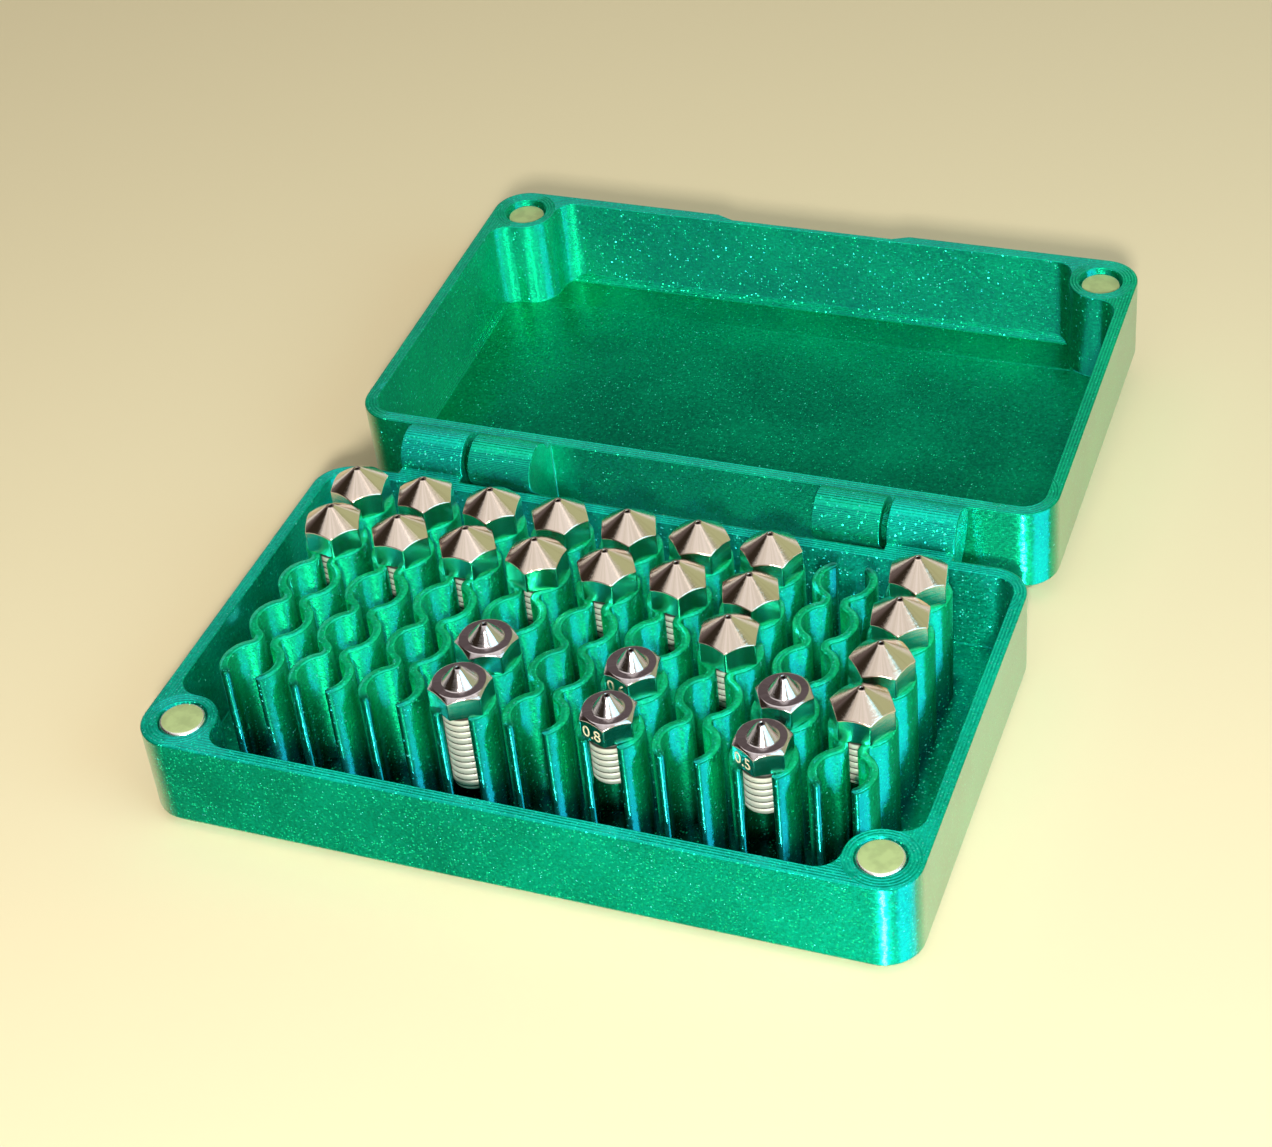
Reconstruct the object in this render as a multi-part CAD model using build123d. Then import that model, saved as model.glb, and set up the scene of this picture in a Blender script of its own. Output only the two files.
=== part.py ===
from build123d import *
import os
from math import acos, atan2, cos, degrees, radians, sin, sqrt

os.makedirs("parts", exist_ok=True)

# Box outline, shared by the tray and the lid (millimetres)
BOX_WIDTH = 100.0
BOX_DEPTH = 58.4
CORNER_RADIUS = 5.0
WALL = 1.8

# Tray
TRAY_HEIGHT = 13.7
TRAY_FLOOR = 1.4
TRAY_FOOT_CHAMFER = 1.2

# Rack of open rings on the tray's floor
RACK_COLUMNS = 9
RACK_ROWS = 5
COLUMN_PITCH = 9.54
ROW_PITCH = 8.25
RACK_TOP = 18.0
RACK_SHIFT_BACK = 0.4
SHANK_RADIUS = 2.8
SHANK_CLEARANCE = 0.15
RING_WALL = 1.2
NECK_GAP = 1.2
END_OPENING = 3.6

# Lid
LID_TOP = 1.4
LID_CHAMFER = 3.0
LID_SLOPE_THICKNESS = 0.85
CLOSING_GAP = 0.2
FINGER_WIDTH = 30.0
FINGER_SLOPE = 2.5
FINGER_DEPTH = 1.0
FINGER_HEIGHT = 8.0

# Magnets and the corners that hold them
MAGNET_RADIUS = 3.0
MAGNET_THICKNESS = 2.0
MAGNET_CLEARANCE = 0.1
MAGNET_INSET = 5.2
MAGNET_CORNER_WALL = 1.4
MAGNET_CORNER_FILLET = 3.0
LID_MAGNET_RECESS = 0.8
MAGNET_EDGE = 0.2

# Print-in-place hinge
HINGE_SETBACK = 4.5
HINGE_RISE = 0.85
KNUCKLE_RADIUS = 3.5
KNUCKLE_LENGTH = 9.2
KNUCKLE_GAP = 0.9
HINGE_STATION = 29.55
HINGE_CLEARANCE = 0.35
CONE_RADIUS = 2.4
CONE_TIP_RADIUS = 0.5
CONE_LENGTH = 3.2
SHORT_OF_FLAT = 2.3

# Nozzles
WIDE_FLATS = 7.0
SMALL_FLATS = 6.4
HEX_HEIGHT = 3.0
WIDE_TIP_HEIGHT = 5.6
SHOULDER_HEIGHT = 3.2
SHOULDER_TIP_HEIGHT = 5.2
SHOULDER_CHAMFER = 0.55
SHOULDER_WIDTH = 1.1
TIP_RADIUS = 0.5
ORIFICE_RADIUS = 0.25
ORIFICE_LENGTH = 0.8
BORE_RADIUS = 1.0
RELIEF_RADIUS = 2.45
RELIEF_HEIGHT = 0.8
SHANK_END_CHAMFER = 0.4
WIDE_SHANK = 7.4
SHORT_SHANK = 6.8
LONG_SHANK = 12.4

# Which nozzle stands in which ring, back row first: W full cone, S short, L long
NOZZLE_PLAN = (
    "WWWWWWW.W",
    "WWWWWWW.W",
    "......W.W",
    "...L.S.SW",
    "...L.S.S.",
)

# How far each stands turned about its own axis, in tens of degrees
TURN_PLAN = (
    "4540511.4",
    "5003055.4",
    "......4.1",
    "...2.4.00",
    "...3.4.3.",
)

# Derived sizes
RING_INNER = SHANK_RADIUS + SHANK_CLEARANCE
RING_MIDDLE = RING_INNER + RING_WALL / 2
NECK_MIDDLE = (NECK_GAP + RING_WALL) / 2
LID_HEIGHT = TRAY_HEIGHT + 2 * HINGE_RISE
AXIS_IN_LID = LID_HEIGHT + CLOSING_GAP - HINGE_RISE
HINGE_Y = BOX_DEPTH / 2 + HINGE_SETBACK
HINGE_Z = TRAY_HEIGHT + HINGE_RISE
MAGNET_CORNER_RADIUS = MAGNET_RADIUS + MAGNET_CLEARANCE + MAGNET_CORNER_WALL

# Places the lid, built square and upright, in its open position
LID_PLACE = (
    Pos(0, HINGE_Y, HINGE_Z)
    * Rot(SHORT_OF_FLAT, 0, 0)
    * Pos(0, HINGE_SETBACK + BOX_DEPTH / 2, -AXIS_IN_LID)
)


def magnet_spots(side):
    """Centres of the two magnet corners, on the front (-1) or the back (+1) of a box half."""
    along = BOX_WIDTH / 2 - MAGNET_INSET
    across = side * (BOX_DEPTH / 2 - MAGNET_INSET)
    return [(-along, across), (along, across)]


def inner_rectangle():
    """Plan of the space between the four walls."""
    return RectangleRounded(BOX_WIDTH - 2 * WALL, BOX_DEPTH - 2 * WALL, CORNER_RADIUS - WALL)


def inner_plan(side):
    """The same plan with the magnet corners left solid and blended into the walls."""
    plan = inner_rectangle()
    for spot in magnet_spots(side):
        plan -= Pos(*spot) * Circle(MAGNET_CORNER_RADIUS)
    meets = []
    for vertex in plan.vertices():
        for x, y in magnet_spots(side):
            reach = sqrt((vertex.X - x) ** 2 + (vertex.Y - y) ** 2)
            if abs(reach - MAGNET_CORNER_RADIUS) < 0.01:
                meets.append(vertex)
    return fillet(meets, MAGNET_CORNER_FILLET)


def knuckle(axis_above_rim, rim_height, length):
    """A hinge barrel with its 45 degree gusset, along X from 0, on a back wall at Y 0."""
    tangent = KNUCKLE_RADIUS / sqrt(2)
    root = axis_above_rim - HINGE_SETBACK - KNUCKLE_RADIUS * sqrt(2)
    web = Polygon(
        (-WALL / 2, 0),
        (-WALL / 2, root),
        (0, root),
        (HINGE_SETBACK + tangent, axis_above_rim - tangent),
        (HINGE_SETBACK, axis_above_rim),
        (HINGE_SETBACK, 0),
        align=None,
    )
    profile = web + Pos(HINGE_SETBACK, axis_above_rim) * Circle(KNUCKLE_RADIUS)
    standing = Plane(origin=(0, 0, rim_height), x_dir=(0, 1, 0), z_dir=(1, 0, 0))
    return extrude(standing * profile, length)


def cone_along(side, wide, narrow, length):
    """A cone on the X axis that starts at the origin and narrows towards side (-1 or +1)."""
    upright = Cone(wide, narrow, length, align=(Align.CENTER, Align.CENTER, Align.MIN))
    return Rot(0, 90 * side, 0) * upright


def tray():
    outer = extrude(RectangleRounded(BOX_WIDTH, BOX_DEPTH, CORNER_RADIUS), TRAY_HEIGHT)
    outer = chamfer(outer.edges().group_by(Axis.Z)[0], TRAY_FOOT_CHAMFER)
    body = outer - Pos(0, 0, TRAY_FLOOR) * extrude(inner_plan(-1), TRAY_HEIGHT)
    for x, y in magnet_spots(-1):
        pocket = Cylinder(MAGNET_RADIUS + MAGNET_CLEARANCE, 2 * MAGNET_THICKNESS)
        body -= Pos(x, y, TRAY_HEIGHT) * pocket
    for side in (-1, 1):
        inner_end = HINGE_STATION + KNUCKLE_GAP / 2
        start = min(side * inner_end, side * (inner_end + KNUCKLE_LENGTH))
        barrel = Pos(start, BOX_DEPTH / 2, 0) * knuckle(HINGE_RISE, TRAY_HEIGHT, KNUCKLE_LENGTH)
        slope = (CONE_RADIUS - CONE_TIP_RADIUS) / CONE_LENGTH
        mouth = CONE_RADIUS - slope * KNUCKLE_GAP + HINGE_CLEARANCE
        depth = CONE_LENGTH - KNUCKLE_GAP + HINGE_CLEARANCE
        end = CONE_TIP_RADIUS + HINGE_CLEARANCE
        barrel -= Pos(side * inner_end, HINGE_Y, HINGE_Z) * cone_along(side, mouth, end, depth)
        body += barrel
    return body


def serpentine_wall():
    """Outline of one wall of a column, bulging round the right half of each ring.

    Ring arcs and the smaller neck arcs between them are tangent, so the wall is one even ribbon.
    """
    half_pitch = ROW_PITCH / 2
    bend = (NECK_MIDDLE ** 2 + half_pitch ** 2 - RING_MIDDLE ** 2) / (2 * (RING_MIDDLE - NECK_MIDDLE))
    neck_x = NECK_MIDDLE + bend
    swing = degrees(atan2(half_pitch, neck_x))
    stop = degrees(acos((END_OPENING + RING_WALL) / 2 / RING_MIDDLE))
    half = RING_WALL / 2
    first = -(RACK_ROWS - 1) * half_pitch
    edges = []
    for row in range(RACK_ROWS):
        y = first + row * ROW_PITCH
        start = -stop if row == 0 else -swing
        end = stop if row == RACK_ROWS - 1 else swing
        for radius in (RING_MIDDLE + half, RING_MIDDLE - half):
            edges.append(CenterArc((0, y), radius, start, end - start))
        if row < RACK_ROWS - 1:
            for radius in (bend + half, bend - half):
                edges.append(CenterArc((neck_x, y + half_pitch), radius, 180 - swing, 2 * swing))
    for side in (-1, 1):
        end_x = RING_MIDDLE * cos(radians(stop))
        end_y = side * (-first + RING_MIDDLE * sin(radians(stop)))
        edges.append(CenterArc((end_x, end_y), half, side * stop, side * 180))
    return make_face(edges)


def rack_column():
    """Two mirrored walls that stand on the tray's floor and leave a slot between the rings."""
    right = Pos(0, 0, TRAY_FLOOR) * extrude(serpentine_wall(), RACK_TOP - TRAY_FLOOR)
    return right + mirror(right, about=Plane.YZ)


def lid():
    """The lid, square to the axes with its hinge side at the front and its rim upwards."""
    plan = RectangleRounded(BOX_WIDTH, BOX_DEPTH, CORNER_RADIUS)
    outer = extrude(plan, LID_HEIGHT)
    outer = chamfer(outer.edges().group_by(Axis.Z)[0], LID_CHAMFER)
    hollow = Pos(0, 0, LID_TOP) * extrude(inner_rectangle(), LID_HEIGHT)
    inner_chamfer = LID_CHAMFER - WALL - LID_TOP + LID_SLOPE_THICKNESS * sqrt(2)
    hollow = chamfer(hollow.edges().group_by(Axis.Z)[0], inner_chamfer)
    pillars = extrude(inner_rectangle() - inner_plan(1), LID_HEIGHT) & outer
    body = outer - hollow + pillars
    for x, y in magnet_spots(1):
        depth = MAGNET_THICKNESS + LID_MAGNET_RECESS
        pocket = Cylinder(MAGNET_RADIUS + MAGNET_CLEARANCE, 2 * depth)
        body -= Pos(x, y, LID_HEIGHT) * pocket
    wide = FINGER_WIDTH / 2
    free_edge = BOX_DEPTH / 2
    finger = Polygon(
        (-wide, free_edge),
        (FINGER_SLOPE - wide, free_edge - FINGER_DEPTH),
        (wide - FINGER_SLOPE, free_edge - FINGER_DEPTH),
        (wide, free_edge),
        align=None,
    )
    body -= Pos(0, 0, LID_HEIGHT - FINGER_HEIGHT) * extrude(finger, FINGER_HEIGHT)
    for side in (-1, 1):
        outer_end = HINGE_STATION - KNUCKLE_GAP / 2
        start = min(side * outer_end, side * (outer_end - KNUCKLE_LENGTH))
        barrel = knuckle(AXIS_IN_LID - LID_HEIGHT, LID_HEIGHT, KNUCKLE_LENGTH)
        barrel = Pos(start, 0, 0) * barrel
        cone = cone_along(side, CONE_RADIUS, CONE_TIP_RADIUS, CONE_LENGTH)
        barrel += Pos(side * outer_end, HINGE_SETBACK, AXIS_IN_LID) * cone
        body += mirror(barrel, about=Plane.XZ).move(Pos(0, -BOX_DEPTH / 2, 0))
    return body


def magnet():
    disc = Cylinder(MAGNET_RADIUS, MAGNET_THICKNESS, align=(Align.CENTER, Align.CENTER, Align.MAX))
    return chamfer(disc.edges().filter_by(GeomType.CIRCLE), MAGNET_EDGE)


def shank(length):
    """The threaded part below the seat at Z 0, with its relief groove and bevelled end."""
    profile = Polygon(
        (0, 0),
        (RELIEF_RADIUS, 0),
        (RELIEF_RADIUS, -RELIEF_HEIGHT),
        (SHANK_RADIUS, -RELIEF_HEIGHT - (SHANK_RADIUS - RELIEF_RADIUS)),
        (SHANK_RADIUS, SHANK_END_CHAMFER - length),
        (SHANK_RADIUS - SHANK_END_CHAMFER, -length),
        (0, -length),
        align=None,
    )
    return revolve(Plane.XZ * profile, Axis.Z)


def bore(length, tip_height):
    """The filament passage: a wide bore from below, a short taper and the orifice at the tip."""
    neck = tip_height - ORIFICE_LENGTH
    profile = Polygon(
        (0, -length),
        (BORE_RADIUS, -length),
        (BORE_RADIUS, neck - BORE_RADIUS),
        (ORIFICE_RADIUS, neck),
        (ORIFICE_RADIUS, tip_height),
        (0, tip_height),
        align=None,
    )
    return revolve(Plane.XZ * profile, Axis.Z)


def full_cone_nozzle():
    """A 7 mm hexagon cut by one cone from its corners to the tip."""
    corner = WIDE_FLATS / sqrt(3)
    profile = Polygon(
        (0, 0),
        (corner, 0),
        (corner, HEX_HEIGHT),
        (TIP_RADIUS, WIDE_TIP_HEIGHT),
        (0, WIDE_TIP_HEIGHT),
        align=None,
    )
    head = extrude(RegularPolygon(corner, 6), WIDE_TIP_HEIGHT) & revolve(Plane.XZ * profile, Axis.Z)
    return head + shank(WIDE_SHANK) - bore(WIDE_SHANK, WIDE_TIP_HEIGHT)


def shouldered_nozzle(flats, shank_length):
    """A hexagon with a bevelled top, a flat ring shoulder and a smaller cone on it."""
    corner = flats / sqrt(3)
    shoulder = flats / 2 - SHOULDER_CHAMFER / 4
    profile = Polygon(
        (0, 0),
        (corner, 0),
        (corner, SHOULDER_HEIGHT - SHOULDER_CHAMFER),
        (shoulder, SHOULDER_HEIGHT),
        (shoulder - SHOULDER_WIDTH, SHOULDER_HEIGHT),
        (TIP_RADIUS, SHOULDER_TIP_HEIGHT),
        (0, SHOULDER_TIP_HEIGHT),
        align=None,
    )
    head = extrude(RegularPolygon(corner, 6), SHOULDER_TIP_HEIGHT) & revolve(Plane.XZ * profile, Axis.Z)
    return head + shank(shank_length) - bore(shank_length, SHOULDER_TIP_HEIGHT)


def save(shape, name):
    export_step(shape, f"parts/{name}.step")


save(tray(), "base_tray")

column = rack_column()
for number in range(RACK_COLUMNS):
    x = (number - (RACK_COLUMNS - 1) / 2) * COLUMN_PITCH
    save(Pos(x, RACK_SHIFT_BACK, 0) * column, f"rack_column_{number + 1}")

save(LID_PLACE * lid(), "lid")

disc = magnet()
for side, spot in zip(("left", "right"), magnet_spots(-1)):
    save(Pos(*spot, TRAY_HEIGHT) * disc, f"base_magnet_{side}")
for side, spot in zip(("left", "right"), magnet_spots(1)):
    top = LID_HEIGHT - LID_MAGNET_RECESS
    save(LID_PLACE * Pos(*spot, top) * disc, f"lid_magnet_{side}")

NOZZLES = {
    "W": full_cone_nozzle(),
    "S": shouldered_nozzle(SMALL_FLATS, SHORT_SHANK),
    "L": shouldered_nozzle(WIDE_FLATS, LONG_SHANK),
}
for row, kinds in enumerate(NOZZLE_PLAN):
    for place, kind in enumerate(kinds):
        if kind == ".":
            continue
        x = (place - (RACK_COLUMNS - 1) / 2) * COLUMN_PITCH
        y = RACK_SHIFT_BACK + ((RACK_ROWS - 1) / 2 - row) * ROW_PITCH
        turn = 10 * int(TURN_PLAN[row][place])
        save(Pos(x, y, RACK_TOP) * Rot(0, 0, turn) * NOZZLES[kind], f"nozzle_{row + 1}_{place + 1}")
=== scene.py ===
from math import acos, atan2, cos, pi, radians, sin, sqrt

import bmesh
import bpy
import numpy as np
from mathutils import Matrix, Vector


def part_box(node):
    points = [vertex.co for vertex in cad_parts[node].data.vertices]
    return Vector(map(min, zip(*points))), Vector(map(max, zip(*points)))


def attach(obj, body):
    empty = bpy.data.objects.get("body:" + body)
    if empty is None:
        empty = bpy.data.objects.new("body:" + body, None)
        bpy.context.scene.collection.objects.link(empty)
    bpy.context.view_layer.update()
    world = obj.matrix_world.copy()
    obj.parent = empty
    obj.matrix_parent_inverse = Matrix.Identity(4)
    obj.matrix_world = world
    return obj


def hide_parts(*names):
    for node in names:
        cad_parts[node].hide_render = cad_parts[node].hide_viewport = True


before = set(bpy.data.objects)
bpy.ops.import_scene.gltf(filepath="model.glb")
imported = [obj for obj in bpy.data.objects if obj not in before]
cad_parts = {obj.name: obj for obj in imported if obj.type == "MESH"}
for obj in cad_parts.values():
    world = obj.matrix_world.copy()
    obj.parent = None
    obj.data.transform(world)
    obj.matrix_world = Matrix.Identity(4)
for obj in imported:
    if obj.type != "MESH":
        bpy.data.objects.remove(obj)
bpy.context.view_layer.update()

# The tray is printed in one: a floor, four walls, two solid corners that take the front magnets, and two
# hinge barrels on 45 degree gussets. Emerald silk filament with glitter in it, laid down in 0.2 mm layers.
MM = 0.001
BOX_WIDTH = 100.0
BOX_DEPTH = 58.4
CORNER_RADIUS = 5.0
PAD_RADIUS = 4.7
RIM_HEIGHT = 13.0
LAYER = 0.20
BEAD = 0.42
PRINT_EDGE = 0.22 * MM
MERGE = 1e-6
FLAT_ANGLE = 0.5
EDGE_ANGLE = 35

PRINT_DEEP = (0.0006, 0.320, 0.178)
PRINT_BRIGHT = (0.0010, 0.610, 0.375)
PRINT_TINT = (0.15, 0.95, 1.0)
PRINT_IOR = 1.5
PRINT_METAL = 0.92
PRINT_ROUGHNESS = 0.34
PRINT_PATCHES = (0.32, 0.68)
GRAIN_ROUGHNESS = 0.06
PATCH_SCALE = 0.07
GRAIN_SCALE = 2.6
GRAIN_STRETCH = (0.5, 0.5, 1.7)
GRAIN_LEAN = 0.42
NOISE_DETAIL = 3.0

# Layers show on a wall, a face whose normal rises by less than these, and beads on a level face at the rim.
WALL_RISE = (0.96, 0.80)
LAYER_LEAN = 0.9
LAYER_WOBBLE = 0.10
BEAD_LEAN = 0.15
BEAD_WOBBLE = 0.06
# Painted light: a level face at the rim is painted this much lighter.
RIM_PAINTED_LIGHT = 0.35
RIM_DULLING = 0.2
RIM_GLOSS = 0.14

# Each cell of about 0.36 mm may hold one fleck of glitter: its three lots give its chance, tint and size.
# The flecks are real glitter, and their bright tints are also painted glints that show where no lamp is
# caught.
TRAY_GLITTER = 0.56
CELL_SCALE = 2.8
FLECK_EDGE = (0.24, 0.13)
FLECK_SHRINK = 0.22
FLECK_FAINTEST = 0.4
FLECK_DULLING = 0.2
PALE_DULLING = 0.5
RARE_POLISH = 0.10
FLECK_GREEN = (0.02, 0.95, 0.42)
FLECK_CYAN = (0.05, 0.92, 0.78)
FLECK_PALE = (0.15, 0.95, 0.80)
GREEN_TO_CYAN = (0.55, 0.75)
RARE_LOTS = (0.72, 0.74)
PALE_LOTS = (0.88, 0.90)
FLECK_LEAN = 0.9
RARE_LEAN = 1.1

# The skin is the clear gloss on the shoulder of each layer. Seen along a wall it turns dull and warm.
PRINT_GLOSS = (0.03, 0.82, 0.93)
GLOSS_ROUGHNESS = 0.14
GLOSS_SHARE = 0.14
SHOULDER_LEAN = 0.92
SHOULDER_RIPPLE = 0.12
SKIN_BEAD_LEAN = 0.6
DRIFT_SCALE = 1.5
DRIFT_LEAN = 0.24
PRINT_GRAZED = (0.86, 0.73, 0.57)
GRAZED_SHARE = 0.56
GRAZED_FACING = (0.42, 0.85)
OUTSIDE_FROM = (CORNER_RADIUS - 1.6, CORNER_RADIUS - 1.2)
OUTSIDE_TO = (CORNER_RADIUS + 0.5, CORNER_RADIUS + 0.2)

# Painted shade darkens the floor under the rack, where little light gets down: in mm from its middle on each
# side and above the table.
RACK_MIDDLE_Y = 0.4
UNDER_RACK_X = (43.5, 41.5)
UNDER_RACK_Y = (21.5, 19.5)
UNDER_RACK_Z = (2.0, 1.6)
UNDER_RACK_SHADE = 0.85


class Shade:
    """A socket of one material's nodes. Arithmetic on it adds Math nodes, and make adds any other node."""

    def __init__(self, tree, socket=None):
        self.tree = tree
        self.socket = socket

    def feed(self, target, value):
        if isinstance(value, Shade):
            self.tree.links.new(value.socket, target)
        else:
            target.default_value = value

    def make(self, kind, settings=None, inputs=None, output=0):
        """One node: its settings are set first, then its inputs are set or linked."""
        node = self.tree.nodes.new(kind)
        for name, value in (settings or {}).items():
            setattr(node, name, value)
        for name, value in (inputs or {}).items():
            self.feed(node.inputs[name], value)
        return Shade(self.tree, node.outputs[output])

    def sum(self, operation, *values):
        return self.make("ShaderNodeMath", {"operation": operation}, dict(enumerate(values)))

    def vector(self, operation, *values):
        return self.make("ShaderNodeVectorMath", {"operation": operation}, dict(enumerate(values)))

    def dot(self, one, other):
        return self.make("ShaderNodeVectorMath", {"operation": "DOT_PRODUCT"}, {0: one, 1: other}, 1)

    def scaled(self, direction, share):
        inputs = {0: direction, "Scale": share}
        return self.make("ShaderNodeVectorMath", {"operation": "SCALE"}, inputs)

    def mix(self, low, high):
        """Colour low where this is 0 and high where it is 1."""
        low, high = (c if isinstance(c, Shade) else (*c, 1) for c in (low, high))
        inputs = {0: self, 6: low, 7: high}
        return self.make("ShaderNodeMix", {"data_type": "RGBA"}, inputs, 2)

    def step(self, low, high):
        """0 below low, 1 above high, and smooth between them; low may be above high."""
        inputs = {"Value": self, "From Min": low, "From Max": high}
        return self.make("ShaderNodeMapRange", {"interpolation_type": "SMOOTHSTEP"}, inputs)

    def axis(self, place, number):
        return self.make("ShaderNodeSeparateXYZ", None, {0: place}, number)

    def noise(self, place, scale, detail, output=0):
        """Cloudy noise at that many waves to a unit of place; output 1 gives three of them as a vector."""
        inputs = {"Vector": place, "Scale": scale, "Detail": detail}
        return self.make("ShaderNodeTexNoise", None, inputs, output)

    def stored(self, attribute, output):
        """A mesh attribute, as a vector (output 1) or a number (output 2)."""
        return self.make("ShaderNodeAttribute", {"attribute_name": attribute}, None, output)

    def __add__(self, other):
        return self.sum("ADD", self, other)

    def __radd__(self, other):
        return self.sum("ADD", other, self)

    def __sub__(self, other):
        return self.sum("SUBTRACT", self, other)

    def __rsub__(self, other):
        return self.sum("SUBTRACT", other, self)

    def __mul__(self, other):
        return self.sum("MULTIPLY", self, other)

    def __rmul__(self, other):
        return self.sum("MULTIPLY", other, self)

    def __truediv__(self, other):
        return self.sum("DIVIDE", self, other)

    def __pow__(self, other):
        return self.sum("POWER", self, other)

    def __abs__(self):
        return self.sum("ABSOLUTE", self)


def new_finish(name, constants):
    """An empty material with its Principled shader, whose constant inputs are set on the shader itself."""
    finish = bpy.data.materials.new(name)
    finish.use_nodes = True
    shader = finish.node_tree.nodes["Principled BSDF"]
    for socket, value in constants.items():
        shader.inputs[socket].default_value = value
    return finish, Shade(finish.node_tree), shader


def rim_lines(nodes, place):
    """Which way the beads on a rim face, how far in they lie, where the outer walls are, and full light.

    Along a straight wall the beads face square to it. Past the walls' ends the direction turns about the
    corner's centre, as it does round a magnet pocket.
    """
    x = nodes.axis(place, 0)
    y = nodes.axis(place, 1)
    out = abs(x) - (BOX_WIDTH / 2 - CORNER_RADIUS)
    on = abs(y) - (BOX_DEPTH / 2 - CORNER_RADIUS)
    reach = (out.sum("MAXIMUM", out, 0.0) ** 2 + on.sum("MAXIMUM", on, 0.0) ** 2) ** 0.5
    outside = reach.step(*OUTSIDE_FROM) * reach.step(*OUTSIDE_TO)
    reach = (out * out + on * on) ** 0.5
    pad = reach.step(PAD_RADIUS, PAD_RADIUS - 0.01)
    out = out.sum("MAXIMUM", out, pad * -PAD_RADIUS)
    on = on.sum("MAXIMUM", on, pad * -PAD_RADIUS)
    reach = (out * out + on * on) ** 0.5 + 0.001
    turned = {0: out * x.sum("SIGN", x) / reach, 1: on * y.sum("SIGN", y) / reach}
    across = nodes.make("ShaderNodeCombineXYZ", None, turned)
    return across, reach, outside, 1.0


def tray_lines(nodes, place):
    """The rim's lines, and painted shade on the floor under the rack."""
    across, reach, outside, light = rim_lines(nodes, place)
    x, y, z = (nodes.axis(place, number) for number in range(3))
    # Painted shade: the floor's colour is darkened under the rack.
    under = abs(x).step(*UNDER_RACK_X) * abs(y - RACK_MIDDLE_Y).step(*UNDER_RACK_Y) * z.step(*UNDER_RACK_Z)
    return across, reach, outside, light - under * UNDER_RACK_SHADE


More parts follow.
